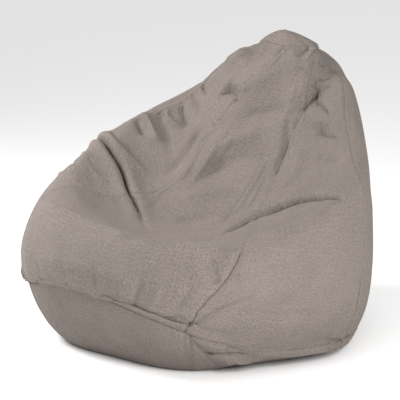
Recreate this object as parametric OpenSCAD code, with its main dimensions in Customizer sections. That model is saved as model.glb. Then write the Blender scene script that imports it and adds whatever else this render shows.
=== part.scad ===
// Bean bag chair. A pear-shaped cover of six tapered panels, a hexagonal base in two
// halves with a zip between them and a small hexagonal cap holds a liner of the same cut,
// and the liner holds loose polystyrene beads. The bag stands as it does once it has been
// sat in: a hollow seat behind a front roll, an arm on each side and a tall back.
// +Z is up, the seat faces -Y, and the origin is on the floor under the bag's middle.

/* [Bag] */
// Width across the belly
bag_w = 880; // [800:10:960]
// Depth from the front roll to the back
bag_d = 860; // [800:10:920]
// Height of the top of the back
bag_h = 700; // [650:10:750]
// How much higher the left arm stands than the right
arm_skew = 44; // [0:4:60]
// How far the front of the base is tipped up off the floor
front_lift = 135; // [80:5:150]
// How far the middle of the cap stands above its seam
cap_crown = 32; // [10:2:40]

/* [Cloth] */
// Thickness of the cover cloth
cover_th = 1.6; // [1.2:0.1:2]
// Thickness of the liner cloth
liner_th = 0.8; // [0.5:0.1:1]
// Gap left between one layer and the next
layer_gap = 0.6; // [0.4:0.1:0.8]

/* [Zips] */
// Length of each zip's chain, end to end
chain_len = 410; // [300:10:410]
// Width of one side's tape
tape_w = 15; // [12:1:16]
// Thickness of the tape
tape_th = 0.8; // [0.6:0.1:0.9]
// Width of one side's row of teeth
coil_w = 2.2; // [1.8:0.1:2.4]
// Height of the teeth
coil_h = 2.6; // [2.2:0.1:2.8]
// Length of a zip's slider
slider_l = 16; // [13:1:18]
// Length of the cover zip's pull from its pin
pull_l = 30; // [22:1:34]

/* [Hidden] */
PANELS = ["front", "front_right", "back_right", "back", "back_left", "front_left"];

cover_colour = [0.59, 0.55, 0.53];
liner_colour = [0.90, 0.90, 0.88];
bead_colour = [0.97, 0.97, 0.96];
tape_colour = [0.50, 0.47, 0.45];
metal_colour = [0.72, 0.72, 0.74];

// The bag is drawn at this size, and scaled to the one above.
drawn = [876, 860, 703.5];
size = [bag_w / drawn[0], bag_d / drawn[1], bag_h / drawn[2]];

// Girths of the skin, from the base seam up to the cap seam. Each is
// [height at the front, at the sides, at the back, half width, y at the front, y at the back].
girths = [
    [ 45,  60,  45, 406, -428, 380],
    [215, 130, 120, 426, -443, 408],
    [270, 225, 210, 430, -429, 418],
    [314, 325, 310, 411, -378, 424],
    [300, 400, 410, 384, -286, 428],
    [266, 434, 500, 346, -178, 432],
    [275, 466, 568, 300,  -48, 436],
    [360, 518, 620, 244,   92, 436],
    [520, 600, 652, 182,  207, 428],
    [628, 650, 664, 116,  276, 392],
    [668, 674, 670,  80,  290, 356]
];
last = len(girths) - 1;

COLUMNS = 8;            // across one panel
ROWS = 24;              // up one panel
STEP = 60 / COLUMNS;    // degrees round the bag between columns
HEEL = [90, 60, 30];    // degrees round the curve from the floor up to the base seam

// Depths of the layers under the skin.
liner_d = cover_th + layer_gap;
fill_d = liner_d + liner_th + layer_gap;

function wrap(a) = a - 360 * floor((a + 180) / 360);
function unit(v) = v / norm(v);
function mix(a, b, k) = a + (b - a) * k;
function bump(d, half) = abs(d) < half ? (1 + cos(180 * d / half)) / 2 : 0;
function ease(k) = let (c = min(1, max(0, k))) c * c * (3 - 2 * c);

// A smooth curve through the girths.
function spline(a, b, c, d, u) =
    (2 * b + (c - a) * u + (2 * a - 5 * b + 4 * c - d) * u * u
        + (3 * b - a - 3 * c + d) * u * u * u) / 2;
function girth(t) =
    let (k = min(floor(t), last - 1))
    spline(girths[max(k - 1, 0)], girths[k], girths[k + 1], girths[min(k + 2, last)], t - k);

// The seams don't run straight up: the seat spreads the front panel, and the top is
// twisted. This is the true angle round the bag of the line cut at the angle a.
function spread(t) = 4 + 16 * bump(t - 3.2, 3.6);
function twist(t) = 40 * ease((t - 7.2) / 2.8);
function round_at(a, t) = a + spread(t) * sin(a) * pow(1 + cos(a), 2) / 2 + twist(t);

// A point of the skin on the line cut at the angle a round the bag, 0 at the front and 90
// at the right, and t girths up from the base seam. The six corners are at 30, 90, 150...
function skin(a, t) =
    let (
        g = girth(t),
        b = round_at(a, t),
        mean = (g[0] + 2 * g[1] + g[2]) / 4,
        tilt = (g[0] - g[2]) / 2,
        saddle = (g[0] + g[2] - 2 * g[1]) / 4,
        lift = front_lift * bump(wrap(b + 8), 80) * (1 - ease(t)),
        skew = arm_skew / 2 * sin(b) * bump(t - 4.5, 3.5),
        corner = 1 + (0.035 - 0.02 * bump(t - 4, 5)) * cos(6 * (a - 30)),
        x = g[3] * corner * sin(b),
        y = mix(g[4], g[5], 0.5) - (g[5] - g[4]) / 2 * corner * cos(b),
        z = mean + tilt * cos(b) + saddle * cos(2 * b) + lift - skew
    )
    [x * size[0], y * size[1], z * size[2]];
function skin_out(a, t) =
    unit(cross(skin(a + 0.5, t) - skin(a - 0.5, t),
               skin(a, min(t + 0.02, last)) - skin(a, max(t - 0.02, 0))));
function under_skin(a, t, d) = skin(a, t) - d * skin_out(a, t);

// The base curves from its seam down to the floor on a quarter ellipse. h is the angle
// round that curve, 0 at the seam and 90 on the floor.
function heel(a, h) =
    let (seam = skin(a, 0), r = norm([seam[0], seam[1]]), reach = 88, out = mix(1 - cos(h), h / 90, 0.5),
         up = mix(1 - sin(h), 1 - h / 90, 0.5))
    [seam[0] * (1 - reach / r * out), seam[1] * (1 - reach / r * out), seam[2] * up];
function heel_out(a, h) =
    unit(cross(heel(a + 0.5, h) - heel(a - 0.5, h), heel(a, h - 0.5) - heel(a, h + 0.5)));
function under_heel(a, h, d) =
    h >= 90 ? heel(a, 90) * (1 - d / 400) + [0, 0, d] : heel(a, h) - d * heel_out(a, h);

// The cap closes the top inside its seam, and k runs from 0 at the seam to 1 in the middle.
cap_middle = (skin(0, last) + skin(90, last) + skin(180, last) + skin(270, last)) / 4;
cap_out = unit(cross(skin(90, last) - skin(270, last), skin(180, last) - skin(0, last)));
function cap(a, k, d) =
    k == 0 ? under_skin(a, last, d)
           : mix(skin(a, last), cap_middle, k) + cap_out * (cap_crown * (1 - pow(1 - k, 2)) - d);

// A layer of cloth between two grids of points, each a list of rows that run round the bag.
module cloth(outer, inner) {
    rows = len(outer);
    cols = len(outer[0]);
    n = rows * cols;
    pts = [for (side = [outer, inner]) for (row = side) each row];
    function at(r, c) = r * cols + c;
    polyhedron(pts, [
        for (r = [0 : rows - 2]) for (c = [0 : cols - 2])
            let (p = at(r, c), q = p + 1, s = at(r + 1, c), u = s + 1) each
                [[p, s, u], [p, u, q], [n + p, n + u, n + s], [n + p, n + q, n + u]],
        for (c = [0 : cols - 2])
            let (p = c, q = c + 1, s = at(rows - 1, c), u = s + 1) each
                [[p, q, n + p], [q, n + q, n + p], [u, s, n + s], [u, n + s, n + u]],
        for (r = [0 : rows - 2])
            let (p = at(r, 0), s = at(r + 1, 0), q = at(r, cols - 1), u = at(r + 1, cols - 1)) each
                [[s, p, n + s], [p, n + p, n + s], [q, u, n + u], [q, n + u, n + q]]
    ]);
}

// A closed solid through rings of points that run round the bag, with a point at each end.
module rings(first, loops, end) {
    cols = len(loops[0]);
    rows = len(loops);
    pts = [first, for (loop = loops) each loop, end];
    function at(r, c) = 1 + r * cols + c % cols;
    polyhedron(pts, [
        for (c = [0 : cols - 1]) [0, at(0, c), at(0, c + 1)],
        for (r = [0 : rows - 2]) for (c = [0 : cols - 1]) each [
            [at(r, c), at(r + 1, c), at(r + 1, c + 1)],
            [at(r, c), at(r + 1, c + 1), at(r, c + 1)]
        ],
        for (c = [0 : cols - 1]) [len(pts) - 1, at(rows - 1, c + 1), at(rows - 1, c)]
    ]);
}

round_bag = [0 : STEP : 360 - STEP];

// One of the six tapered panels. d is the depth of its outer face under the skin.
module panel(n, d, th) {
    function grid(depth) = [
        for (j = [0 : ROWS]) [
            for (i = [0 : COLUMNS]) under_skin(60 * n - 30 + i * STEP, j / ROWS * last, depth)
        ]
    ];
    cloth(grid(d), grid(d + th));
}

module cap_panel(d, th) {
    function ring(k, depth) = [for (a = round_bag) cap(a, k, depth)];
    rings(
        cap(0, 1, d + th),
        [ring(2 / 3, d + th), ring(1 / 3, d + th), ring(0, d + th),
         ring(0, d), ring(1 / 3, d), ring(2 / 3, d)],
        cap(0, 1, d)
    );
}

// Half of the base, from the zip out over the floor and up to the base seam. side is 0 for
// the front half and 180 for the back one. The zip's edge is lifted by rise and stands open
// by open from the middle line, and the cloth comes back down to the floor at foot.
module base_half(side, d, th, foot, open, rise) {
    reach = chain_len / 2 + 35;
    way = side == 0 ? -1 : 1;
    half_way = [side - 90 : STEP : side + 90];
    function edge(a, depth, wide, high, out) =
        let (
            x = reach * (a - side) / 90,
            near = ease((reach - abs(x)) / 30)
        )
        [-way * x * out, way * wide * near, depth + high * near];
    function grid(depth) = [
        [for (a = half_way) edge(a, depth, open, rise, 1)],
        [for (a = half_way) edge(a, depth, foot, 0, 1.08)],
        for (h = HEEL) [for (a = half_way) under_heel(a, h, depth)],
        [for (a = half_way) under_skin(a, 0, depth)]
    ];
    cloth(grid(d), grid(d + th));
}

// The zips lie one over the other in a shallow channel under the bag. Each layer of cloth
// rises to its zip from a fold line beside it.
zip_z = [9, 25];        // height of the tapes
zip_foot = [30, 46];    // from the middle line to the fold
zip_open = 10;          // from the middle line to the edge of the cloth
channel = [530, 124, 33];

slot = 0.5;             // clearance of the slider on the teeth and tapes
plate = 1.1;            // thickness of the slider's plates
slider_w = 2 * (coil_w + 2.6);
plate_z = coil_h / 2 + slot;
stop_l = 4;
tooth_gap = 0.8;        // from the middle line to each row of teeth
rest_x = chain_len / 2 - stop_l - 2 - slider_l / 2;
pin_r = 0.9;
pin_z = -(plate_z + plate + 1.9);

module tape(way) {
    translate([-chain_len / 2 - 8, way > 0 ? tooth_gap + 1 : -tooth_gap - 1 - tape_w, -tape_th / 2])
        cube([chain_len + 16, tape_w, tape_th]);
}

// A row of teeth, which grips its tape's edge.
module teeth(way) {
    difference() {
        translate([-chain_len / 2, way > 0 ? tooth_gap : -tooth_gap - coil_w, -coil_h / 2])
            cube([chain_len, coil_w, coil_h]);
        tape(way);
    }
}

// Stops clamped over both rows of teeth at each end.
module stops() {
    for (end = [-1, 1])
        translate([end * (chain_len / 2 + stop_l / 2 + 0.2), 0, 0])
            difference() {
                cube([stop_l, 2 * (tooth_gap + coil_w) + 2, coil_h + 1.6], center = true);
                for (way = [-1, 1]) tape_slot(way);
            }
}
module tape_slot(way) {
    translate([-stop_l, way > 0 ? tooth_gap + 1 : -tooth_gap - 1 - tape_w, -tape_th / 2])
        cube([2 * stop_l, tape_w, tape_th]);
}

// The slider: two plates with turned-in edges, joined by a post between the rows of teeth.
// A zip with a pull has a bridge under it, with a hole for the pull's pin.
module slider(bridge) {
    for (face = [-1, 1]) scale([1, 1, face]) {
        translate([0, 0, plate_z + plate / 2])
            linear_extrude(plate, center = true)
                offset(r = 2, $fn = 24) square([slider_l - 4, slider_w - 4], center = true);
        for (way = [-1, 1])
            translate([-slider_l / 2 + 2.5, way * (slider_w / 2 - 0.5) - 0.4, tape_th / 2 + slot])
                cube([slider_l - 5, 0.8, plate_z + plate / 2 - tape_th / 2 - slot]);
    }
    cube([4, 2 * (tooth_gap - 0.3), 2 * plate_z + plate], center = true);
    if (bridge) difference() {
        translate([-4, -1.5, pin_z - pin_r - 1]) cube([8, 3, -pin_z - plate_z - plate / 2 + pin_r + 1]);
        translate([0, 0, pin_z]) rotate([90, 0, 0]) cylinder(r = pin_r + 0.2, h = 4, center = true, $fn = 24);
    }
}

// The pull hangs on its pin and lies along the teeth.
module pull() {
    arm_y = 1.9;
    arm_w = 1.4;
    translate([0, 0, pin_z]) {
        rotate([90, 0, 0]) cylinder(r = pin_r, h = 2 * (arm_y + arm_w), center = true, $fn = 24);
        for (way = [-1, 1])
            translate([-8, way * (arm_y + arm_w / 2) - arm_w / 2, -0.8])
                cube([8, arm_w, 1.6]);
        translate([-pull_l, -4, -0.8]) cube([pull_l - 7, 8, 1.6]);
    }
}

// A folded blank label sewn beside the cover's zip, inside.
module label() {
    translate([120, 31, cover_th]) cube([45, 13, 1]);
}

module fill() {
    difference() {
        rings(
            [0, 0, fill_d],
            [
                for (h = HEEL) [for (a = round_bag) under_heel(a, h, fill_d)],
                for (j = [0 : ROWS]) [for (a = round_bag) under_skin(a, j / ROWS * last, fill_d)],
                for (k = [1 / 3, 2 / 3]) [for (a = round_bag) cap(a, k, fill_d)]
            ],
            cap(0, 1, fill_d)
        );
        translate([-channel[0] / 2, -channel[1] / 2, -1])
            cube([channel[0], channel[1], channel[2] + 1]);
    }
}

for (layer = [0, 1]) {
    name = ["cover", "liner"][layer];
    depth = [0, liner_d][layer];
    th = [cover_th, liner_th][layer];
    cloth_colour = [cover_colour, liner_colour][layer];
    rise = zip_z[layer] - tape_th / 2 - th - depth;
    for (n = [0 : 5])
        color(cloth_colour) panel(n, depth, th);
    color(cloth_colour) cap_panel(depth, th);
    color(cloth_colour) base_half(0, depth, th, zip_foot[layer], zip_open, rise);
    color(cloth_colour) base_half(180, depth, th, zip_foot[layer], zip_open, rise);
    translate([0, 0, zip_z[layer]]) {
        color(tape_colour) tape(-1);
        color(tape_colour) tape(1);
        color(tape_colour) teeth(-1);
        color(tape_colour) teeth(1);
        color(metal_colour) stops();
        translate([rest_x, 0, 0])
            color(metal_colour) slider(layer == 0);
    }
}
translate([rest_x, 0, zip_z[0]]) color(metal_colour) pull();  // cover_zip_pull
color("white") label();  // care_label
color(bead_colour) fill();  // bead_fill
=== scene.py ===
import math
import bpy
import numpy as np
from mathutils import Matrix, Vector
from mathutils.bvhtree import BVHTree


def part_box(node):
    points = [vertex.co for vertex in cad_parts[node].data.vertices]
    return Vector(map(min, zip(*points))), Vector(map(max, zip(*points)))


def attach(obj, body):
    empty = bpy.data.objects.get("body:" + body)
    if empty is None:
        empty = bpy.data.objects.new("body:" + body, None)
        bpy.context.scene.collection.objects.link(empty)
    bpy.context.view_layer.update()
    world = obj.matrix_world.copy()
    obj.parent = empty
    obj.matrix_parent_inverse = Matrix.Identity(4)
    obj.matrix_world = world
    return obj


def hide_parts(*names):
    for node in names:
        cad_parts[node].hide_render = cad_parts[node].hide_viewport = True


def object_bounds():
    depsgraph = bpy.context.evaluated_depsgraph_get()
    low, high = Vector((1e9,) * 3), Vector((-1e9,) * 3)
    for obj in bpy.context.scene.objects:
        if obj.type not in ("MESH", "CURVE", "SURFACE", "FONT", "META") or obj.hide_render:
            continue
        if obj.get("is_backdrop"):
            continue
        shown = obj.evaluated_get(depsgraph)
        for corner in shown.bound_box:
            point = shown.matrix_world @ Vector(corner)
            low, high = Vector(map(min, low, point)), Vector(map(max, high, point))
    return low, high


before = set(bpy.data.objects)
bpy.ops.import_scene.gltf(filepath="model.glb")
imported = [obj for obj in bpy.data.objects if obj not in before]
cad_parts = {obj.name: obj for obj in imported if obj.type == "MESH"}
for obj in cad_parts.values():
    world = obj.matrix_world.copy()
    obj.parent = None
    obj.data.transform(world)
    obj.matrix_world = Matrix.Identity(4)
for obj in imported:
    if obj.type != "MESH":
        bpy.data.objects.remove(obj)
cad_low, cad_high = (Vector(c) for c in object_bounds())

# ---------------------------------------------------------------------------------------
# The camera stands a little above seat height, to the right of the bag's front, with a
# long lens.
azimuth, elevation = math.radians(38), math.radians(14)
look = Vector((-math.sin(azimuth) * math.cos(elevation), math.cos(azimuth) * math.cos(elevation),
               -math.sin(elevation)))
camera = bpy.data.objects.new("camera", bpy.data.cameras.new("camera"))
camera.data.lens = 184.5
camera.data.clip_end = 50
LOOKED_AT, CAMERA_AWAY = Vector((0.0046, -0.0165, 0.325)), 5
camera.location = LOOKED_AT - CAMERA_AWAY * look
camera.rotation_euler = look.to_track_quat("-Z", "Y").to_euler()
bpy.context.scene.collection.objects.link(camera)
bpy.context.scene.camera = camera

# ---------------------------------------------------------------------------------------
# The bag's form. The sewn bag is a pear of six tapered panels, and it stands as it was left
# by the last sitter. Its girths run from the base seam up to the cap seam: height at the
# front, sides and back, half width, and how far it reaches to the front and the back.
GIRTHS = np.array([
    [0.045, 0.060, 0.045, 0.406, -0.428, 0.380],
    [0.215, 0.130, 0.120, 0.426, -0.443, 0.408],
    [0.270, 0.225, 0.210, 0.430, -0.429, 0.418],
    [0.314, 0.325, 0.310, 0.411, -0.378, 0.424],
    [0.300, 0.400, 0.410, 0.384, -0.286, 0.428],
    [0.266, 0.434, 0.500, 0.346, -0.178, 0.432],
    [0.275, 0.466, 0.568, 0.300, -0.048, 0.436],
    [0.360, 0.518, 0.620, 0.244, 0.092, 0.436],
    [0.520, 0.600, 0.652, 0.182, 0.207, 0.428],
    [0.628, 0.650, 0.664, 0.116, 0.276, 0.392],
    [0.668, 0.674, 0.670, 0.080, 0.290, 0.356],
])
TOP = len(GIRTHS) - 1
PANELS = ["front", "front_right", "back_right", "back", "back_left", "front_left"]
COLS = 84          # across one panel
ROWS = 240         # up one panel
ROUND = 6 * COLS
cad_size = cad_high - cad_low
FORM_WIDE, FORM_HIGH = 0.8763, 0.7035    # the size that the girths give
FIT = np.array([cad_size.x / FORM_WIDE, 1, cad_size.z / FORM_HIGH])
LEAN_WAY = (0.79, 0.62)                  # which way the top leans, across and back
TOP_LEAN = 0.020


def bump(d, half):
    return np.where(np.abs(d) < half, (1 + np.cos(np.pi * np.minimum(np.abs(d) / half, 1))) / 2, 0)


def ease(k):
    k = np.clip(k, 0, 1)
    return k * k * (3 - 2 * k)


def between(a, b, c, d, u):
    """The smooth curve through a, b, c and d, from b, where u is 0, to c, where it is 1."""
    return (2 * b + (c - a) * u + (2 * a - 5 * b + 4 * c - d) * u**2
            + (3 * b - a - 3 * c + d) * u**3) / 2


def girth(t):
    k = np.clip(np.floor(t).astype(int), 0, TOP - 1)
    u = (t - k)[..., None]
    a, b, c, d = (GIRTHS[np.clip(k + i, 0, TOP)] for i in (-1, 0, 1, 2))
    return between(a, b, c, d, u)


def skin(a, t):
    """The smooth bag at cut angle a, in degrees from the front, and t girths up."""
    a, t = np.broadcast_arrays(np.asarray(a, float), np.asarray(t, float))
    g = girth(t)
    cut = np.radians(a)
    spread = 4 + 16 * bump(t - 3.2, 3.6)
    twist = 40 * ease((t - 7.2) / 2.8)
    b = np.radians(a + spread * np.sin(cut) * (1 + np.cos(cut)) ** 2 / 2 + twist)
    front = (np.degrees(b) + 8 + 180) % 360 - 180
    lift = 0.135 * bump(front, 80) * (1 - ease(t))
    skew = 0.022 * np.sin(b) * bump(t - 4.5, 3.5)
    sharpness = 0.035 - 0.02 * bump(t - 4, 5) + 0.06 * ease((t - 9) / 1)
    corner = 1 + sharpness * np.cos(6 * (cut - np.pi / 6))
    z = ((g[..., 0] + 2 * g[..., 1] + g[..., 2]) / 4 + (g[..., 0] - g[..., 2]) / 2 * np.cos(b)
         + (g[..., 0] + g[..., 2] - 2 * g[..., 1]) / 4 * np.cos(2 * b) + lift - skew)
    x = g[..., 3] * corner * np.sin(b)
    y = (g[..., 4] + g[..., 5]) / 2 - (g[..., 5] - g[..., 4]) / 2 * corner * np.cos(b)
    # The top leans over to one side.
    lean = TOP_LEAN * ease((t - 8.6) / 1.4)
    return np.stack([x + LEAN_WAY[0] * lean, y + LEAN_WAY[1] * lean, z], -1) * FIT


HEEL_REACH = 0.088                       # how far the bag runs in under the base seam's girth


def heel(h, rim):
    """The curve from the lowest girth, at h = 0, down to the floor, at h = 90 degrees."""
    turn = np.radians(h)
    out = 0.5 * (1 - np.cos(turn)) + 0.5 * h / 90
    up = 0.5 * (1 - np.sin(turn)) + 0.5 * (1 - h / 90)
    away = 1 - HEEL_REACH / np.linalg.norm(rim[..., :2], axis=-1) * out
    return np.stack([rim[..., 0] * away, rim[..., 1] * away, rim[..., 2] * up], -1)


def low_skin(a, t):
    """The skin, with t from 0 to -1 for the curve from the lowest girth to the floor."""
    a, t = np.broadcast_arrays(np.asarray(a, float), np.asarray(t, float))
    foot = heel(-90 * np.minimum(t, 0), skin(a, 0 * t))
    return np.where((t < 0)[..., None], foot, skin(a, np.maximum(t, 0)))


def normals_of(grid):
    """Outward normals of rows of points that run round the bag."""
    across = np.roll(grid, -1, 1) - np.roll(grid, 1, 1)
    up = np.gradient(grid, axis=0)
    n = np.cross(across, up)
    return n / np.maximum(np.linalg.norm(n, axis=-1, keepdims=True), 1e-12)


def quads_of(grid, closed=False):
    """The corners of the faces between rows of points, which may close on themselves."""
    index = np.arange(grid.shape[0] * grid.shape[1]).reshape(grid.shape[:2])
    if closed:
        index = np.concatenate([index, index[:, :1]], 1)
    corners = [index[:-1, :-1], index[:-1, 1:], index[1:, 1:], index[1:, :-1]]
    return np.stack(corners, -1).reshape(-1, 4)


# The cut angle and the girth of every point of the side panels, row by row.
column_angle = np.arange(ROUND) / COLS * 60 - 30
cut_angle, height = np.meshgrid(column_angle, np.linspace(0, TOP, ROWS + 1))
# On the right side the base seam is drawn in under the bag, from the front corner on.
drop = (0.85 * ease((column_angle - 29) / 16) * ease((150 - column_angle) / 14)
        - 0.13 * bump(column_angle - 24, 26))
level = np.where(height < 1, 1 - (1 - height) * (1 + drop), height)
smooth = low_skin(cut_angle, level)
outward = normals_of(smooth)
bag = smooth.copy()


# The folds in the cloth. Each runs along a line through a few points, given as the cut angle
# in degrees and the girth. A valley has a negative height, and a roll is the swelling of the
# cloth beside it: roll on the right as one follows it from outside, and other_roll on the left.
# lap draws the cloth of the right side over the valley, or of the left side where it is negative.
def line(points, count=48):
    """Points along the smooth line over the bag through a few of its points."""
    p = np.array(points, float)
    p = np.vstack([2 * p[0] - p[1], p, 2 * p[-1] - p[-2]])
    s = np.linspace(0, len(p) - 3, count)
    k = np.minimum(s.astype(int), len(p) - 4)
    u = (s - k)[:, None]
    q = between(p[k], p[k + 1], p[k + 2], p[k + 3], u)
    return low_skin(q[:, 0], np.clip(q[:, 1], -1, TOP))


LAP_REACH = 0.030                        # how far beside a valley its lap is felt


def fold(points, rise, width, roll=0, other_roll=0, roll_width=2.0, lap=0,
         pinch=0.25, fade=(0.25, 0.25), sharp=1.5):
    """Raise or sink the cloth along a line. rise, the rolls and width are in millimetres."""
    rise, roll, other_roll, width, lap = (x / 1000 for x in (rise, roll, other_roll, width, lap))
    path = line(points)
    reach = width * (4 + 3 * roll_width)
    near = np.nonzero((np.abs(smooth - path.mean(0)).max(-1)
                       < np.abs(path - path.mean(0)).max() + reach))
    here = smooth[near]
    gap = here[:, None, :] - path[None]
    dist = np.linalg.norm(gap, axis=-1)
    k = dist.argmin(1)
    d = dist[np.arange(len(k)), k]
    nearest = gap[np.arange(len(k)), k]
    tangent = np.gradient(path, axis=0)[k]
    n = outward[near]
    right = np.cross(tangent, n)
    right /= np.linalg.norm(right, axis=-1, keepdims=True)
    side = np.sign((right * nearest).sum(-1))
    s = k / (len(path) - 1)
    strength = ease(s / max(fade[0], 1e-3)) * ease((1 - s) / max(fade[1], 1e-3))
    shape = rise / (1 + (d / width) ** 2) ** sharp
    off = (d - roll_width * width * 0.9) / (roll_width * width)
    shape = shape + np.where(side > 0, roll, other_roll) * np.exp(-off**2)
    bag[near] += n * (shape * strength)[:, None]
    pull = -nearest * (pinch * np.exp(-((d / (1.5 * width)) ** 2)) * strength)[:, None]
    bag[near] += pull
    over = (side * lap > 0) * (1 - np.exp(-((d / width) ** 2))) * np.exp(-((d / LAP_REACH) ** 2)) * strength
    bag[near] -= right * (lap * over)[:, None]


# The deep crease down the inside of the left arm, with the arm's cloth rolled over it, and
# the lesser folds beside it.
fold([(-80, 3.6), (-66, 4.5), (-54, 5.2), (-45, 5.5), (-35, 5.6), (-22, 5.55), (-6, 5.15)],
     -50, 6, roll=12, other_roll=14, roll_width=3.2, lap=-11, fade=(0.06, 0.35), pinch=0.4)
fold([(-74, 4.3), (-58, 5.4), (-47, 5.9), (-35, 6.2)], 10, 13, fade=(0.2, 0.4))
fold([(-80, 4.4), (-68, 5.0), (-61, 5.5), (-54, 5.8)], -9, 6, fade=(0.2, 0.4))
# The pleats that hang from the left arm's crest.
fold([(-90, 5.0), (-80, 5.5), (-70, 5.85)], -13, 9)
fold([(-97, 5.0), (-82, 5.8), (-70, 6.15), (-62, 6.3)], 12, 9)
fold([(-95, 5.8), (-82, 6.15), (-70, 6.4), (-52, 6.6), (-36, 6.7)], -15, 18, fade=(0.2, 0.6))
fold([(-90, 6.3), (-80, 6.45), (-70, 6.7), (-60, 6.95)], 12, 8)
fold([(-92, 6.65), (-80, 6.8), (-70, 6.9), (-58, 7.05)], -13, 9)
fold([(-94, 7.0), (-80, 7.15), (-68, 7.3), (-58, 7.3)], 10, 9)
fold([(-94, 7.4), (-80, 7.5), (-68, 7.65)], -11, 9)
# The crease behind the right arm, where the arm swells up and over it.
fold([(14, 5.55), (21, 5.95), (28, 6.15), (36, 6.2), (46, 6.05), (57, 5.6), (66, 4.7), (74, 3.9)],
     -58, 8, roll=5, other_roll=9, roll_width=2.6, lap=-13, fade=(0.3, 0.2), pinch=0.2)
# The ridge along the front roll, which ends in a sharp pleat at the right.
fold([(-34, 2.85), (-22, 3.15), (-12, 3.38), (-2, 3.32), (6, 3.15)], 15, 16, fade=(0.35, 0.15), sharp=1.6)
fold([(5, 3.0), (12, 3.12), (20, 3.1), (26, 2.95), (30, 2.75)], 12, 12, fade=(0.2, 0.1))
fold([(23, 2.85), (26, 2.4), (29, 1.9)], -9, 11)
fold([(18, 2.7), (23, 2.2), (28, 1.7)], 7, 9)
# Soft puckers down the front, above the base seam.
for at, top, rise, width in ((-26, 2.4, 3, 18), (-19, 2.3, -3, 18), (-9, 2.7, -5, 14), (-4, 2.5, 4, 13),
                             (0, 2.1, -7, 12), (4, 2.7, -4, 12), (8, 2.7, 5, 13), (12, 2.2, -7, 11),
                             (17, 2.1, 5, 11), (23, 1.9, -6, 10)):
    fold([(at, top), (at + 1, 1.6), (at + 2, 0.35)], rise, width, fade=(0.5, 0.3))
# Folds drawn from the corner of the base across the right side.
fold([(29, 0.40), (33, 0.85), (36, 1.2), (40, 1.8), (43, 2.4)], -9, 9, fade=(0.1, 0.7))
fold([(30.5, 0.10), (38, 0.08), (47, 0.06), (58, 0.10)], -7, 5, fade=(0.05, 0.5))
fold([(31, -0.02), (40, -0.03), (50, 0.0), (62, 0.06)], 6, 7, fade=(0.1, 0.5))
fold([(36, -0.27), (42, -0.22), (50, -0.14), (62, -0.05)], -12, 6, fade=(0.05, 0.6))
fold([(42, -0.45), (50, -0.38), (62, -0.28)], 7, 7, fade=(0.1, 0.5))
fold([(45, -0.72), (52, -0.64), (62, -0.54), (74, -0.42)], -11, 6, fade=(0.1, 0.5))
# The deep fold where the back meets the right arm's pillar, and its branches.
fold([(62, 8.25), (50, 8.2), (40, 8.2), (33, 8.15), (26, 8.05), (17, 7.95)], -30, 22, roll=8, roll_width=1.6,
     fade=(0.3, 0.3), pinch=0.2)
fold([(54, 8.2), (44, 8.2), (36, 8.2), (30, 8.1)], -10, 7, fade=(0.3, 0.3))
fold([(20, 8.1), (25, 7.9), (28, 7.6), (29, 7.2), (28, 6.8)], -20, 20, fade=(0.3, 0.5), pinch=0.2)
fold([(-20, 7.75), (-8, 7.95), (2, 8.0), (9, 8.05), (20, 8.0)], -15, 17, fade=(0.4, 0.2), pinch=0.1)
fold([(-56, 7.9), (-48, 8.15), (-38, 8.2), (-31, 8.1)], -17, 14, other_roll=7, fade=(0.2, 0.3), pinch=0.2)
fold([(-40, 8.35), (-31, 8.15), (-26, 7.95)], -8, 8, fade=(0.4, 0.4))
fold([(-92, 8.5), (-88, 8.0), (-82, 7.4)], -15, 17)
# Broad hollows and swellings down the back.
fold([(-24, 6.9), (-8, 7.25), (8, 7.4), (22, 7.3)], -14, 26, pinch=0)
fold([(-22, 7.35), (-6, 7.6), (8, 7.7)], 9, 20, pinch=0)
fold([(-26, 6.2), (-8, 6.7), (8, 6.9), (20, 6.7)], 11, 24, pinch=0)
fold([(-10, 5.9), (2, 6.3), (16, 6.3)], -12, 26, pinch=0)
fold([(-40, 7.9), (-22, 8.55), (0, 8.9), (20, 8.8)], 12, 28, pinch=0)
fold([(-34, 7.5), (-28, 7.1), (-26, 6.5)], 12, 20, pinch=0)
fold([(-46, 7.4), (-40, 7.0), (-36, 6.4)], -12, 18, pinch=0)
fold([(40, 7.4), (44, 7.0), (42, 6.5)], 12, 24, pinch=0)
# The right shoulder slopes and the left one is full.
fold([(93, 9.7), (94, 9.0), (92, 8.4), (94, 7.8)], -20, 42, fade=(0.2, 0.3), pinch=0)
fold([(-92, 9.3), (-87, 8.9), (-83, 8.4), (-80, 7.8), (-86, 7.2)], 19, 38, fade=(0.25, 0.3), pinch=0)
# Creases at the top of the back, under the cap.
fold([(80, 8.2), (63, 8.32), (44, 8.45)], -9, 7)
fold([(78, 8.0), (62, 8.1), (48, 8.2)], -5, 4)
fold([(45, 9.35), (62, 9.05), (80, 8.8)], 7, 6)
fold([(40, 9.15), (60, 8.9), (80, 8.65)], -8, 7)
fold([(20, 9.9), (10, 9.6), (2, 9.3), (-2, 9.0)], -12, 9, fade=(0.2, 0.5))
fold([(36, 9.9), (30, 9.4), (28, 8.9)], 8, 8, fade=(0.2, 0.5))
fold([(-20, 9.8), (-22, 9.3), (-18, 8.8)], -5, 8)
# Wrinkles down the right pillar.
fold([(44, 7.65), (58, 7.5), (72, 7.3)], 8, 8)
fold([(54, 7.45), (64, 7.3), (73, 7.1), (82, 6.8)], -10, 7)
fold([(43, 8.0), (56, 7.9), (66, 7.7), (75, 7.45)], -9, 8)
fold([(60, 6.9), (70, 6.6), (80, 6.1)], -7, 12)
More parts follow.
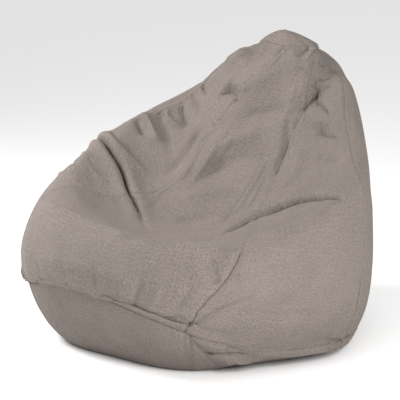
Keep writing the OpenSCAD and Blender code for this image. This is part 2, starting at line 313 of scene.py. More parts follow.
# Fine diagonal wrinkles on the left arm's front.
for start, end, rise in (((-56, 3.5), (-43, 4.3), -5), ((-54, 4.1), (-46, 4.9), -5),
                         ((-47, 4.4), (-37, 5.25), 5), ((-37, 3.9), (-28, 4.9), 5),
                         ((-50, 3.2), (-40, 3.9), 4), ((-60, 3.8), (-52, 4.4), 4)):
    middle = ((start[0] + end[0]) / 2 + 1, (start[1] + end[1]) / 2)
    fold([start, middle, end], rise, 5, fade=(0.4, 0.4))

# The lower edge of the side panels hangs a little over the base seam.
overhang = 0.005 * bump(height - 0.28, 0.26) - 0.002 * np.exp(-((height / 0.05) ** 2))
bag = bag + outward * overhang[..., None]

# The cloth is cut a little larger than the beads fill, so it wrinkles. A simulation finds
# how, with more slack where the bag has been sat down and squeezed. Each slack place has its
# cut angle and girth, and how far it reaches in degrees and in girths.
SLACK = [(-76, 6.1, 26, 1.5), (-47, 4.6, 18, 1.1), (-25, 8.2, 40, 0.9), (35, 8.7, 60, 1.2),
         (66, 7.3, 20, 1.1), (42, 0.7, 20, 1.0), (2, 1.6, 30, 0.8), (28, 3.0, 16, 1.0),
         (-30, 5.6, 30, 0.9), (40, 6.2, 30, 0.8), (-60, 1.0, 25, 0.9), (110, 6.6, 30, 1.6),
         (-130, 7.0, 30, 1.4), (180, 8.2, 60, 1.2), (150, 1.0, 30, 1.0), (-150, 1.1, 30, 1.0),
         (90, 0.9, 25, 0.8), (180, 4.5, 30, 1.6)]
MOST_MOVE, MOST_IN = 0.022, 0.004        # how far a point may go, and how far in it goes freely


def finer(rows, times, closed):
    """Rows of points with more rows between them, along the same curves."""
    at = np.arange((len(rows) if closed else len(rows) - 1) * times + (not closed)) / times
    k = at.astype(int)
    u = (at - k).reshape(-1, *[1] * (rows.ndim - 1))
    last = len(rows) - 1
    a, b, c, d = (rows[(k + i) % len(rows) if closed else np.clip(k + i, 0, last)] for i in (-1, 0, 1, 2))
    return between(a, b, c, d, u)


def wrinkled(grid, steps=2, frames=18):
    """How far each point of the cloth moves as it wrinkles."""
    coarse = grid[::steps, ::steps]
    mesh = bpy.data.meshes.new("loose cloth")
    mesh.from_pydata(coarse.reshape(-1, 3).tolist(), [], quads_of(coarse, closed=True).tolist())
    loose = bpy.data.objects.new("loose cloth", mesh)
    bpy.context.scene.collection.objects.link(loose)
    angle, t = cut_angle[::steps, ::steps], height[::steps, ::steps]
    slack = np.zeros(angle.shape)
    for a0, t0, wide, tall in SLACK:
        away = (angle - a0 + 180) % 360 - 180
        slack = np.maximum(slack, np.exp(-((away / wide) ** 2) - ((t - t0) / tall) ** 2))
    seam = np.abs((angle + 60) % 60 - 30) < 0.6 * steps * 60 / COLS
    # The cloth is held at its foot and its top, more at the seams and less where it is slack.
    hold = 0.12 - 0.08 * slack + 0.10 * seam
    foot = 1 - t / (0.4 + 0.3 * bump(angle - 5, 40))
    hold = np.maximum(hold, np.maximum(foot, 1 - (TOP - t) / 0.3))
    groups = {"hold": hold, "slack": 0.25 + 0.75 * slack}
    for name, weights in groups.items():
        group = loose.vertex_groups.new(name=name)
        for i, weight in enumerate(weights.ravel()):
            group.add([i], float(weight), "REPLACE")
    cloth = loose.modifiers.new("cloth", "CLOTH")
    way = cloth.settings
    way.quality, way.mass = 5, 0.25
    way.tension_stiffness = way.compression_stiffness = 18
    way.shear_stiffness, way.bending_stiffness = 5, 0.12
    way.vertex_group_mass, way.pin_stiffness = "hold", 1.0
    way.vertex_group_shrink, way.shrink_min, way.shrink_max = "slack", 0.0, -0.065
    way.use_pressure, way.uniform_pressure_force = True, 1.3
    way.effector_weights.gravity = 0.3
    cloth.collision_settings.use_collision = False
    cloth.point_cache.frame_start, cloth.point_cache.frame_end = 1, frames
    for frame_number in range(1, frames + 1):
        bpy.context.scene.frame_set(frame_number)
    settled = loose.evaluated_get(bpy.context.evaluated_depsgraph_get()).data
    points = np.empty(len(settled.vertices) * 3)
    settled.vertices.foreach_get("co", points)
    moved = points.reshape(coarse.shape) - coarse
    bpy.data.objects.remove(loose)
    bpy.data.meshes.remove(mesh)
    bpy.context.scene.frame_set(1)
    far = np.linalg.norm(moved, axis=-1, keepdims=True)
    moved *= np.minimum(1, MOST_MOVE / np.maximum(far, 1e-9))
    n = outward[::steps, ::steps]
    inward = np.minimum((moved * n).sum(-1, keepdims=True) + MOST_IN, 0)
    moved -= n * inward * 0.8
    moved = finer(moved, steps, closed=False)
    return finer(moved.swapaxes(0, 1), steps, closed=True).swapaxes(0, 1)


bag = bag + wrinkled(bag)

# ---------------------------------------------------------------------------------------
# The cover's six side panels: upholstery cloth of thick and thin taupe yarns, sewn edge to
# edge with the allowances inside.
class Value:
    """A number socket that can be used in a Python expression."""

    def __init__(self, tree, socket):
        self.tree, self.socket = tree, socket

    def maths(self, operation, *others, swap=False):
        node = self.tree.nodes.new("ShaderNodeMath")
        node.operation = operation
        terms = [self, *others][::-1] if swap else [self, *others]
        for place, term in zip(node.inputs, terms):
            if isinstance(term, Value):
                self.tree.links.new(term.socket, place)
            else:
                place.default_value = term
        return Value(self.tree, node.outputs[0])

    def __add__(self, other):
        return self.maths("ADD", other)

    def __sub__(self, other):
        return self.maths("SUBTRACT", other)

    def __rsub__(self, other):
        return self.maths("SUBTRACT", other, swap=True)

    def __mul__(self, other):
        return self.maths("MULTIPLY", other)

    __radd__ = __add__
    __rmul__ = __mul__


class Finish:
    """A material with a Principled shader, to which nodes are added."""

    def __init__(self, name, **settings):
        self.material = bpy.data.materials.new(name)
        self.material.use_nodes = True
        self.tree = self.material.node_tree
        self.shader = self.tree.nodes["Principled BSDF"]
        for socket, value in settings.items():
            self.shader.inputs[socket.replace("_", " ")].default_value = value

    def node(self, kind, out=0, settings=(), **sockets):
        node = self.tree.nodes.new(kind)
        for key, value in dict(settings).items():
            if key == "stops":
                ramp = node.color_ramp
                while len(ramp.elements) < len(value):
                    ramp.elements.new(0.5)
                for element, (place, colour) in zip(ramp.elements, value):
                    element.position, element.color = place, colour
            else:
                setattr(node, key, value)
        for key, value in sockets.items():
            place = node.inputs[int(key[2:]) if key.startswith("in") else key.replace("_", " ")]
            if isinstance(value, Value):
                self.tree.links.new(value.socket, place)
            else:
                place.default_value = value
        return Value(self.tree, node.outputs[out])

    def link(self, value, socket):
        self.tree.links.new(value.socket, self.shader.inputs[socket])


SEAM_LINE = 0.0020                       # half the width of the dip at a seam, and of the dark line painted there as painted shade in its groove
SLUB = 0.4                               # how uneven the yarns are
CLOTH_ROUGHNESS = 0.9
FLOOR_SHADE_HIGH = 0.20                         # how far up from the floor the painted shade reaches


def woven(name, dark, light, yarn, relief, floor_shade=0.0):
    """Plain-weave cloth on a UV map in metres: u across the panel and v up it."""
    finish = Finish(name, Roughness=CLOTH_ROUGHNESS, Sheen_Weight=0.05, Sheen_Roughness=0.5,
                    Sheen_Tint=(0.75, 0.62, 0.54, 1), Specular_IOR_Level=0.15)
    uv = finish.node("ShaderNodeUVMap", settings={"uv_map": "cloth"})
    u = finish.node("ShaderNodeSeparateXYZ", 0, Vector=uv)
    v = Value(finish.tree, u.socket.node.outputs[1])
    # Yarns that swell and thin along their length, those along v and those along u.
    stretched = [finish.node("ShaderNodeMapping", Vector=uv, Scale=scale)
                 for scale in ((1 / yarn, 0.05 / yarn, 1), (0.05 / yarn, 1 / yarn, 1))]
    slubs = [finish.node("ShaderNodeTexNoise", Vector=way, Scale=0.5, Detail=3.0, Roughness=0.6)
             for way in stretched]
    broad = finish.node("ShaderNodeTexNoise", Vector=uv, Scale=9.0, Detail=4.0, Roughness=0.6)
    fuzz = finish.node("ShaderNodeTexNoise", Vector=uv, Scale=0.35 / yarn, Detail=2.0, Roughness=0.7)
    over = (u * (math.pi / yarn)).maths("SINE") * (v * (math.pi / yarn)).maths("SINE")
    warp = (u * (2 * math.pi / yarn)).maths("COSINE") * 0.5 + 0.5
    weft = (v * (2 * math.pi / yarn)).maths("COSINE") * 0.5 + 0.5
    on_top = over * 0.5 + 0.5
    thread = warp * on_top + weft * (1 - on_top)
    # The cloth turns in at a seam and dips there, and is drawn up in a soft ridge beside it. Along the seam
    # its colour is painted darker, as painted shade in the seam's groove.
    gap = finish.node("ShaderNodeAttribute", 2, {"attribute_name": "to_seam"})
    seam_dip_and_shade = (1 - gap * (1 / SEAM_LINE)).maths("MAXIMUM", 0.0)
    shade = (thread * 0.30 + (slubs[0] + slubs[1] - 1) * (0.9 * SLUB) + (broad - 0.5) * 0.3
             + (fuzz - 0.5) * 1.3 + 0.33 - seam_dip_and_shade * 0.6)
    # It is painted darker near the floor, as painted shade where the bag sits on the floor.
    spot = finish.node("ShaderNodeTexCoord", 3)
    up = finish.node("ShaderNodeSeparateXYZ", 2, Vector=spot)
    shade = shade - (1 - (up + broad * 0.08) * (1 / FLOOR_SHADE_HIGH)).maths("MAXIMUM", 0.0) * floor_shade
    colour = finish.node("ShaderNodeMix", 2, {"data_type": "RGBA"}, in0=shade, in6=dark, in7=light)
    finish.link(colour, "Base Color")
    finish.link(shade * -0.12 + CLOTH_ROUGHNESS, "Roughness")
    high = thread * 0.6 + (slubs[0] + slubs[1]) * 0.5 * SLUB + fuzz * 0.5 - seam_dip_and_shade * 1.5
    bumps = finish.node("ShaderNodeBump", Height=high, Distance=relief, Strength=0.7)
    finish.link(bumps, "Normal")
    return finish.material


# The cover's cloth, painted darker near the floor as painted shade.
cover_cloth = woven("cover cloth", (0.088, 0.074, 0.066, 1), (0.264, 0.227, 0.204, 1),
                    yarn=0.0015, relief=0.0005, floor_shade=0.18)
COVER_THICK = 0.0016


def to_seam(grid, sides=True, start=True, end=True):
    """How far each point of a piece is from the nearest of its sewn edges."""
    across = np.linalg.norm(np.diff(grid, axis=1), axis=-1)
    along = np.linalg.norm(np.diff(grid, axis=0), axis=-1)
    u = np.concatenate([np.zeros((len(grid), 1)), np.cumsum(across, 1)], 1)
    v = np.concatenate([np.zeros((1, grid.shape[1])), np.cumsum(along, 0)])
    near = np.full(u.shape, 1.0)
    if sides:
        near = np.minimum(near, np.minimum(u, u[:, -1:] - u))
    if start:
        near = np.minimum(near, v)
    if end:
        near = np.minimum(near, v[-1:] - v)
    return near


def cloth_piece(name, grid, material, thick, cut_to, seam_gap, replaced):
    """A sewn piece from rows of points whose faces point outwards. cut_to is u and v of
    every point on the flat cloth, in metres, and seam_gap is how far it is from a seam."""
    quads = quads_of(grid)
    mesh = bpy.data.meshes.new(name)
    mesh.from_pydata(grid.reshape(-1, 3).tolist(), [], quads.tolist())
    uv = mesh.uv_layers.new(name="cloth")
    uv.data.foreach_set("uv", cut_to.reshape(-1, 2)[quads.reshape(-1)].astype(np.float32).ravel())
    gaps = mesh.attributes.new("to_seam", "FLOAT", "POINT")
    gaps.data.foreach_set("value", seam_gap.ravel().astype(np.float32))
    piece = bpy.data.objects.new(name, mesh)
    bpy.context.scene.collection.objects.link(piece)
    mesh.materials.append(material)
    bpy.ops.object.select_all(action="DESELECT")
    bpy.context.view_layer.objects.active = piece
    piece.select_set(True)
    wall = piece.modifiers.new("thickness", "SOLIDIFY")
    wall.thickness, wall.offset = thick, -1
    bpy.ops.object.modifier_apply(modifier=wall.name)
    bpy.ops.object.shade_smooth_by_angle(angle=math.radians(50))
    u, v = cut_to[..., 0], cut_to[..., 1]
    cross = ((u[1:, 1:] - u[:-1, :-1]) * (v[1:, :-1] - v[:-1, 1:])
             - (v[1:, 1:] - v[:-1, :-1]) * (u[1:, :-1] - u[:-1, 1:]))
    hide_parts(replaced)
    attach(piece, "root")


def flat_lengths(grid):
    """u and v on the flat cloth of rows of points: lengths from the middle column, and up
    that column."""
    step = np.linalg.norm(np.diff(grid, axis=1), axis=-1)
    u = np.concatenate([np.zeros((len(grid), 1)), np.cumsum(step, 1)], 1)
    middle = grid.shape[1] // 2
    u = u - u[:, middle:middle + 1]
    rise = np.linalg.norm(np.diff(grid[:, middle], axis=0), axis=-1)
    v = np.concatenate([[0], np.cumsum(rise)])[:, None] + np.zeros_like(u)
    return np.stack([u, v], -1)


def round_bag(grid, first, last):
    """Columns first to last of rows that close on themselves."""
    return grid[:, np.arange(first, last + 1) % grid.shape[1]]


# The seams sink between the panels, and the cloth puckers a little beside them. Above the
# front roll they lie flatter, and hardly show.
SEAM_DEPTH, SEAM_HALF, PUCKER_LONG = 0.0026, 0.0030, 0.021
tight = ease((height - 2.7) / 0.5)
from_seam = np.abs((cut_angle + 30 + 30) % 60 - 30) / 60 * np.linalg.norm(
    smooth - np.roll(smooth, -COLS, 1), axis=-1)
row_length = np.concatenate([np.zeros((1, ROUND)), np.cumsum(
    np.linalg.norm(np.diff(smooth, axis=0), axis=-1), 0)])
pucker = np.sin(row_length * 2 * np.pi / PUCKER_LONG + np.sin(row_length * 31) * 2)
sunk = -SEAM_DEPTH * (1 - 0.6 * tight) * np.exp(-((from_seam / SEAM_HALF) ** 2))
ridge = 0.0009 * np.exp(-(((from_seam - 0.010) / 0.006) ** 2))
bag += normals_of(bag) * (sunk + ridge + 0.0005 * pucker * np.exp(-from_seam / 0.014))[..., None]

for n, panel in enumerate(PANELS):
    first, last = n * COLS, (n + 1) * COLS
    cloth_piece(f"cover_{panel}_cloth", round_bag(bag, first, last), cover_cloth,
                COVER_THICK, flat_lengths(round_bag(smooth, first, last)),
                to_seam(round_bag(smooth, first, last)) + 0.0014 * round_bag(tight, first, last),
                f"cover_{panel}_panel")

# ---------------------------------------------------------------------------------------
# The cover's cap: a small hexagon of the same cloth, sewn to the tops of the panels.
CAP_RINGS = 16
CAP_LEAN = 0.012                         # how far its peak is off the middle


def cap_grid(rim, crown):
    """Rings from a rim in to a peak that stands crown above it."""
    middle = rim.mean(0) - np.array([*LEAN_WAY, 0]) * CAP_LEAN
    quarter = len(rim) // 4
    flat_normal = np.cross(rim[quarter] - rim[-quarter], rim[2 * quarter] - rim[0])
    flat_normal /= np.linalg.norm(flat_normal)
    if flat_normal[2] < 0:
        flat_normal = -flat_normal
    rings = []
    for k in np.linspace(0, 1, CAP_RINGS + 1):
        rings.append(rim * (1 - k) + middle * k + flat_normal * crown * (1 - (1 - k) ** 1.5))
    return np.array(rings)


def cap_cut(grid):
    """u and v of a cap's points on the flat cloth: each ray keeps its length."""
    ray = np.linalg.norm(np.diff(grid[::-1], axis=0), axis=-1)
    far = np.concatenate([np.zeros((1, grid.shape[1])), np.cumsum(ray, 0)])[::-1]
    turn = np.linspace(0, 2 * np.pi, grid.shape[1])
    return np.stack([far * np.sin(turn), -far * np.cos(turn)], -1)


cap = cap_grid(bag[-1], 0.032 * FIT[2])
cap = np.concatenate([cap, cap[:, :1]], 1)
cloth_piece("cover_cap_cloth", cap, cover_cloth, COVER_THICK,
            cap_cut(cap), to_seam(cap, sides=False, end=False), "cover_cap")

# ---------------------------------------------------------------------------------------
# The cover's base, in a front half and a back half. Each comes down from the base seam to
# the floor, runs in under the bag and rises to the zip.
HEEL_ROWS, FLOOR_ROWS, LIP_ROWS = 26, 14, 4
ZIP_REACH = 0.240                        # how far the opening for the zip reaches to each side


def base_grid(side, seam, foot, opening, rise, depth):
    """side is 0 for the front half and 1 for the back one. foot and opening are how far from
    the zip the cloth leaves the floor and ends, rise how far it rises to there, and depth how
    high it lies. Rows run from the zip out to the seam, so that the faces point down."""
    panel = len(seam) // 6
    first = -panel if side == 0 else 2 * panel
    columns = np.arange(first, first + 3 * panel + 1) % len(seam)
    every = len(drop) // len(seam)
    k = np.linspace(0, 1, HEEL_ROWS + 1)[:, None]
    curve = low_skin(cut_angle[0, ::every][columns], -(drop[::every][columns] * (1 - k) + k))
    off = (seam - smooth[0, ::every])[columns]
    curve[..., :2] += off[..., :2] * (1 - 0.5 * k[..., None])
    curve[..., 2] += off[..., 2] * (1 - k) + depth * k
    way = -1 if side == 0 else 1
    x = np.linspace(-1, 1, len(columns)) * ZIP_REACH * -way
    near = ease((ZIP_REACH - np.abs(x)) / 0.03)
    edge = np.stack([x, way * opening * near, depth + rise * near], -1)
    fold_line = np.stack([x * 1.08, way * foot * near, np.full(len(columns), depth)], -1)
    floor = curve[-1].copy()
    floor[:, 2] = depth
    k = np.linspace(0, 1, FLOOR_ROWS + 1)[1:, None, None]
    under = floor * (1 - k) + fold_line * k
    k = ease(np.linspace(0, 1, LIP_ROWS + 1)[1:, None, None])
    lip = fold_line * (1 - k) + edge * k
    return np.concatenate([curve, under, lip])[::-1]


def base_cut(grid):
    """u and v of a base half's points on the flat cloth: each line out from the zip keeps its
    length."""
    run = np.linalg.norm(np.diff(grid, axis=0), axis=-1)
    far = np.concatenate([np.zeros((1, grid.shape[1])), np.cumsum(run, 0)])[..., None]
    way = grid[-1, :, :2] - grid[0, :, :2]
    return grid[0, :, :2] + way / np.linalg.norm(way, axis=-1, keepdims=True) * far


for side, half in enumerate(("front", "back")):
    grid = base_grid(side, bag[0], 0.030, 0.010, 0.007, 0.0)
    cloth_piece(f"cover_base_{half}_cloth", grid, cover_cloth, COVER_THICK,
                base_cut(grid), to_seam(grid), f"cover_base_{half}")

# ---------------------------------------------------------------------------------------
# The liner: thin off-white cloth, cut and sewn as the cover is, that holds the beads and
# lies against the cover from inside.
def tree_of(grid):
    """A search tree of rows of points that close on themselves."""
    return BVHTree.FromPolygons(grid.reshape(-1, 3).tolist(), quads_of(grid, closed=True).tolist())


thin = slice(None, None, 2)
PASSES, STEP_IN, STRAY = 5, 0.006, 0.003


def layer_under(outer_tree, grid, depth, reach):
    """Every second row and column of the next layer in, depth under the cloth or more."""
    deep = ((grid - smooth) * outward).sum(-1)
    for _ in range(reach * COLS // 84 + 1):
        deep = np.minimum(deep, np.minimum(np.roll(deep, 1, 1), np.roll(deep, -1, 1)))
        deep[1:-1] = np.minimum(deep[1:-1], np.minimum(deep[:-2], deep[2:]))
    for _ in range(2):
        deep = (np.roll(deep, 1, 1) + 2 * deep + np.roll(deep, -1, 1)) / 4
    # It lies deeper under the cap, and under the folds at the foot of the front.
    depths = depth + 0.008 * ease((height - 9.4) / 0.6)
    depths = depths + 0.010 * bump(cut_angle + 13, 18) * ease((1.8 - height) / 0.6)
    layer = (smooth + outward * (deep - depths)[..., None])[thin, thin]
    down = -outward[thin, thin]

    def gap_to_cloth(point):
        nearest, normal, _, _ = outer_tree.find_nearest(point)
        return (point - nearest).dot(normal)

    for _ in range(PASSES):
        for place in np.ndindex(layer.shape[:2]):
            gap = gap_to_cloth(Vector(layer[place]))
            if gap > -depth:
                deeper = layer[place] + down[place] * min(gap + depth, STEP_IN)
                if gap_to_cloth(Vector(deeper)) < gap:
                    layer[place] = deeper
    # A point that strays from those around it goes back between them.
    for _ in range(3):
        beside = np.roll(layer, 1, 1) + np.roll(layer, -1, 1)
        around = (beside[1:-1] + layer[:-2] + layer[2:]) / 4
        stray = np.linalg.norm(layer[1:-1] - around, axis=-1, keepdims=True) > STRAY
        layer[1:-1] = np.where(stray, around, layer[1:-1])
    return layer


cover_tree = tree_of(bag)
liner_cloth = woven("liner cloth", (0.60, 0.59, 0.56, 1), (0.84, 0.83, 0.80, 1),
                    yarn=0.0009, relief=0.0002)
LINER_THICK = 0.0006
liner = layer_under(cover_tree, bag, 0.0050, reach=5)
for n, panel in enumerate(PANELS):
    first, last = n * COLS, (n + 1) * COLS
    grid = round_bag(liner, first // 2, last // 2)
    cloth_piece(f"liner_{panel}_cloth", grid, liner_cloth, LINER_THICK,
                flat_lengths(round_bag(smooth, first, last)[thin, thin]), to_seam(grid),
                f"liner_{panel}_panel")
grid = cap_grid(liner[-1], 0.020 * FIT[2])
grid = np.concatenate([grid, grid[:, :1]], 1)
cloth_piece("liner_cap_cloth", grid, liner_cloth, LINER_THICK,
            cap_cut(grid), to_seam(grid, sides=False, end=False), "liner_cap")
for side, half in enumerate(("front", "back")):
    grid = base_grid(side, liner[0], 0.046, 0.010, 0.0216, 0.0024)
    cloth_piece(f"liner_base_{half}_cloth", grid, liner_cloth, LINER_THICK,
                base_cut(grid), to_seam(grid), f"liner_base_{half}")

# ---------------------------------------------------------------------------------------
# The bead fill: expanded polystyrene beads, 3 to 6 mm across, that take the liner's shape.
beads = Finish("polystyrene beads", Roughness=0.55)
place = beads.node("ShaderNodeTexCoord", 3)
# Each bead is white in its middle and painted grey towards its edge, as painted shade between the beads.
cell = beads.node("ShaderNodeTexVoronoi", 0, Vector=place, Scale=230.0)
BEAD_SHADE_STOPS = [(0.0, (0.95, 0.95, 0.94, 1)), (0.8, (0.55, 0.55, 0.54, 1))]
ramp = beads.node("ShaderNodeValToRGB", 0, {"stops": BEAD_SHADE_STOPS}, Fac=cell)
beads.link(ramp, "Base Color")
beads.link(beads.node("ShaderNodeBump", Height=1 - cell, Distance=0.002, Strength=0.9), "Normal")

fill = layer_under(cover_tree, bag, 0.0085, reach=6)
mesh_rows = [np.concatenate([fill, fill[:, :1]], 1)]
grid = cap_grid(fill[-1], 0.014 * FIT[2])
mesh_rows.append(np.concatenate([grid, grid[:, :1]], 1))
mesh_rows += [base_grid(side, fill[0], 0.064, 0.0, 0.030, 0.0042) for side in (0, 1)]
points, quads, start = [], [], 0
for grid in mesh_rows:
    quads.append(quads_of(grid) + start)
    points.append(grid.reshape(-1, 3))
    start += len(points[-1])
mesh = bpy.data.meshes.new("bead_fill_body")
mesh.from_pydata(np.concatenate(points).tolist(), [], np.concatenate(quads).tolist())
bead_fill = bpy.data.objects.new("bead_fill_body", mesh)
bpy.context.scene.collection.objects.link(bead_fill)
mesh.materials.append(beads.material)
bpy.ops.object.select_all(action="DESELECT")
bpy.context.view_layer.objects.active = bead_fill
bead_fill.select_set(True)
bpy.ops.object.mode_set(mode="EDIT")
bpy.ops.mesh.select_all(action="SELECT")
bpy.ops.mesh.remove_doubles(threshold=0.0002)
bpy.ops.mesh.normals_make_consistent(inside=False)
bpy.ops.object.mode_set(mode="OBJECT")
bpy.ops.object.shade_smooth()
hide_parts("bead_fill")
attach(bead_fill, "root")

# ---------------------------------------------------------------------------------------
# The two zips, one in the cover's base and one over it in the liner's: nylon coils on twill
# tapes, sewn to the edges of the cloth. A zip's middle line is at y = 0.
ZIP_HEIGHTS = {"cover": 0.009, "liner": 0.025}
CHAIN, TAPE_WIDE, TAPE_THICK, TAPE_FROM = 0.410, 0.015, 0.0008, 0.0018
TOOTH_PITCH = 0.002
TAPE_LONG = CHAIN + 0.016
STITCHES, STITCH_PITCH = 115, 0.0035

twill = Finish("zip tape twill", Roughness=0.85, Sheen_Weight=0.1, Sheen_Roughness=0.5)
place = twill.node("ShaderNodeTexCoord", 3)
parts = twill.node("ShaderNodeSeparateXYZ", 0, Vector=place)
side_way = Value(twill.tree, parts.socket.node.outputs[1])
ribs = ((parts + side_way.maths("PINGPONG", 0.003) * 1.4) * (2 * math.pi / 0.0011)).maths("SINE") * 0.5 + 0.5
blotch = twill.node("ShaderNodeTexNoise", Vector=place, Scale=900.0, Detail=2.0)
colour = twill.node("ShaderNodeMix", 2, {"data_type": "RGBA"}, in0=ribs * 0.7 + blotch * 0.3,
                    in6=(0.11, 0.095, 0.085, 1), in7=(0.23, 0.20, 0.18, 1))
twill.link(colour, "Base Color")
twill.link(twill.node("ShaderNodeBump", Height=ribs + blotch * 0.4, Distance=0.0002, Strength=0.8), "Normal")

nylon = Finish("nylon coil", Roughness=0.35, Specular_IOR_Level=0.5)
place = nylon.node("ShaderNodeTexCoord", 3)
blotch = nylon.node("ShaderNodeTexNoise", Vector=place, Scale=350.0, Detail=3.0)
nylon.link(nylon.node("ShaderNodeMix", 2, {"data_type": "RGBA"}, in0=blotch,
                      in6=(0.12, 0.10, 0.09, 1), in7=(0.22, 0.19, 0.17, 1)), "Base Color")
nylon.link(blotch * 0.2 + 0.25, "Roughness")

thread = Finish("sewing thread", Roughness=0.6, Sheen_Weight=0.2)
place = thread.node("ShaderNodeTexCoord", 3)
along = thread.node("ShaderNodeSeparateXYZ", 0, Vector=place)
ply = (along * (2 * math.pi / 0.0006)).maths("SINE") * 0.5 + 0.5
thread.link(thread.node("ShaderNodeMix", 2, {"data_type": "RGBA"}, in0=ply,
                        in6=(0.20, 0.17, 0.15, 1), in7=(0.36, 0.31, 0.28, 1)), "Base Color")
thread.link(thread.node("ShaderNodeBump", Height=ply, Distance=0.0001, Strength=0.6), "Normal")


def take(name, material, replaced=None):
    """Finish the active object as a piece: its place goes into its mesh."""
    piece = bpy.context.object
    piece.name = name
    bpy.ops.object.transform_apply(location=True, rotation=True, scale=True)
    for modifier in list(piece.modifiers):
        bpy.ops.object.modifier_apply(modifier=modifier.name)
    piece.data.materials.clear()
    piece.data.materials.append(material)
    if replaced:
        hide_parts(replaced)
    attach(piece, "root")
    return piece


def repeat(count, step):
    """Give the active object an array of count along x."""
    row = bpy.context.object.modifiers.new("row", "ARRAY")
    row.count, row.use_relative_offset, row.use_constant_offset = count, False, True
    row.constant_offset_displace = (step, 0, 0)


for layer, z in ZIP_HEIGHTS.items():
    for half, way in (("front", -1), ("back", 1)):
        # The tape, which waves a little between its stitches.
        bpy.ops.object.select_all(action="DESELECT")
        bpy.ops.mesh.primitive_grid_add(x_subdivisions=142, y_subdivisions=6, size=1,
                                        location=(0, way * (TAPE_FROM + TAPE_WIDE / 2), z))
        bpy.context.object.scale = (TAPE_LONG, TAPE_WIDE, 1)
        bpy.ops.object.transform_apply(location=True, rotation=True, scale=True)
        for v in bpy.context.object.data.vertices:
            free = max(0, (abs(v.co.y) - TAPE_FROM - 0.009) / 0.006)
            v.co.z += 0.0004 * free * math.sin(v.co.x * 700) * (1 if way > 0 else -1)
        wall = bpy.context.object.modifiers.new("thickness", "SOLIDIFY")
        wall.thickness, wall.offset = TAPE_THICK, 0
        tape = take(f"{layer}_zip_{half}_tape", twill.material, f"{layer}_zip_tape_{half}")

        # The coil: loops that reach to the middle line between the other side's.
        bpy.ops.object.select_all(action="DESELECT")
        start = -CHAIN / 2 + (0.0006 if way < 0 else 0.0014)
        bpy.ops.mesh.primitive_torus_add(
            major_segments=12, minor_segments=6, major_radius=0.00105, minor_radius=0.00026,
            rotation=(0, math.radians(90), math.radians(8 * way)), location=(start, way * 0.0016, z))
        bpy.context.object.scale = (1, 1.25, 1)
        bpy.ops.object.transform_apply(location=True, rotation=True, scale=True)
        repeat(int(CHAIN / TOOTH_PITCH) - 1, TOOTH_PITCH)
        bpy.ops.object.shade_smooth()
        take(f"{layer}_zip_{half}_coil", nylon.material, f"{layer}_zip_teeth_{half}")

        # The row of stitches that holds the tape to the cloth.
        bpy.ops.object.select_all(action="DESELECT")
        bpy.ops.mesh.primitive_uv_sphere_add(segments=8, ring_count=6, radius=0.0003,
                                             location=(-0.200, way * 0.0125, z - 0.0021))
        bpy.context.object.scale = (4.4, 1, 0.8)
        bpy.ops.object.transform_apply(location=True, rotation=True, scale=True)
        repeat(STITCHES, STITCH_PITCH)
        bpy.ops.object.shade_smooth()
        take(f"{layer}_zip_{half}_stitches", thread.material)

# ---------------------------------------------------------------------------------------
# The sliders, the cover's pull and the end stops are die-cast zinc, tumbled and plated.
zinc = Finish("plated zinc", Metallic=1.0)
place = zinc.node("ShaderNodeTexCoord", 3)
scuff = zinc.node("ShaderNodeTexNoise", Vector=place, Scale=420.0, Detail=4.0, Roughness=0.6)
broad = zinc.node("ShaderNodeTexNoise", Vector=place, Scale=60.0, Detail=2.0)
zinc.link(zinc.node("ShaderNodeMix", 2, {"data_type": "RGBA"}, in0=broad,
                    in6=(0.42, 0.40, 0.38, 1), in7=(0.62, 0.60, 0.58, 1)), "Base Color")
zinc.link(scuff * 0.25 + 0.22, "Roughness")
zinc.link(zinc.node("ShaderNodeBump", Height=scuff, Distance=0.00008, Strength=0.5), "Normal")
for name in ("cover_zip_slider", "cover_zip_pull", "cover_zip_stops", "liner_zip_slider", "liner_zip_stops"):
    node = bpy.data.objects[name]
    for slot in node.material_slots:
        slot.material = zinc.material

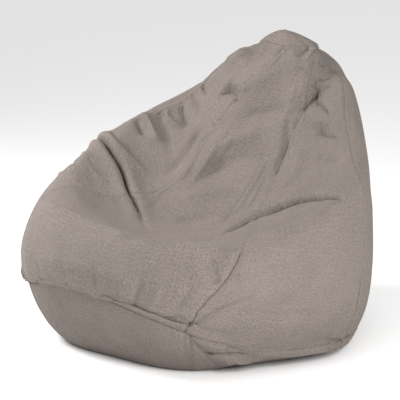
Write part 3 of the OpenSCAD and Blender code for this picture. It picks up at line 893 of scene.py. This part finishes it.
# ---------------------------------------------------------------------------------------
# The care label: a folded strip of white satin ribbon, left blank, sewn beside the cover's
# zip on the inside.
label_low, label_high = (Vector(c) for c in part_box("care_label"))
satin = Finish("label satin", Roughness=0.4, Sheen_Weight=0.3)
place = satin.node("ShaderNodeTexCoord", 3)
parts = satin.node("ShaderNodeSeparateXYZ", 0, Vector=place)
floats = (parts * (2 * math.pi / 0.0005)).maths("SINE") * 0.5 + 0.5
satin.link(satin.node("ShaderNodeMix", 2, {"data_type": "RGBA"}, in0=floats,
                      in6=(0.72, 0.71, 0.69, 1), in7=(0.84, 0.83, 0.81, 1)), "Base Color")
satin.link(satin.node("ShaderNodeBump", Height=floats, Distance=0.0001, Strength=0.4), "Normal")
bpy.ops.object.select_all(action="DESELECT")
middle = (label_low + label_high) / 2
bpy.ops.mesh.primitive_grid_add(x_subdivisions=24, y_subdivisions=8, size=1, location=middle)
bpy.context.object.scale = (label_high.x - label_low.x, label_high.y - label_low.y, 1)
bpy.ops.object.transform_apply(location=True, rotation=True, scale=True)
for v in bpy.context.object.data.vertices:
    v.co.z += 0.0002 * math.sin((v.co.x - label_low.x) * 220)
wall = bpy.context.object.modifiers.new("thickness", "SOLIDIFY")
wall.thickness, wall.offset = 0.0006, 0
label = take("care_label_ribbon", satin.material, "care_label")

# ---------------------------------------------------------------------------------------
# The floor and the lights, which aren't part of the chair.
bpy.ops.object.select_all(action="DESELECT")
bpy.ops.mesh.primitive_plane_add(size=30)
floor = bpy.context.object
floor.name = "floor"
white = Finish("floor", Roughness=0.9)
white.shader.inputs["Base Color"].default_value = (0.97, 0.97, 0.97, 1)
floor.data.materials.append(white.material)
floor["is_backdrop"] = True


LIGHT_WIDE = 0.8


def soft_light(name, place, power, aim):
    light = bpy.data.objects.new(name, bpy.data.lights.new(name, "AREA"))
    light.data.shape, light.data.size, light.data.size_y = "RECTANGLE", LIGHT_WIDE, LIGHT_WIDE
    light.data.energy = power
    light.location = place
    light.rotation_euler = (Vector(aim) - Vector(place)).to_track_quat("-Z", "Y").to_euler()
    bpy.context.scene.collection.objects.link(light)


soft_light("key light", (1.95, -0.95, 1.2), 44, aim=(0.05, -0.2, 0.25))
soft_light("side light", (-1.45, -0.55, 1.3), 40, aim=(-0.15, -0.25, 0.35))
world = bpy.data.worlds.new("studio")
world.use_nodes = True
world.node_tree.nodes["Background"].inputs[0].default_value = (1, 1, 1, 1)
world.node_tree.nodes["Background"].inputs[1].default_value = 0.78
bpy.context.scene.world = world
bpy.context.scene.view_settings.view_transform = "Standard"
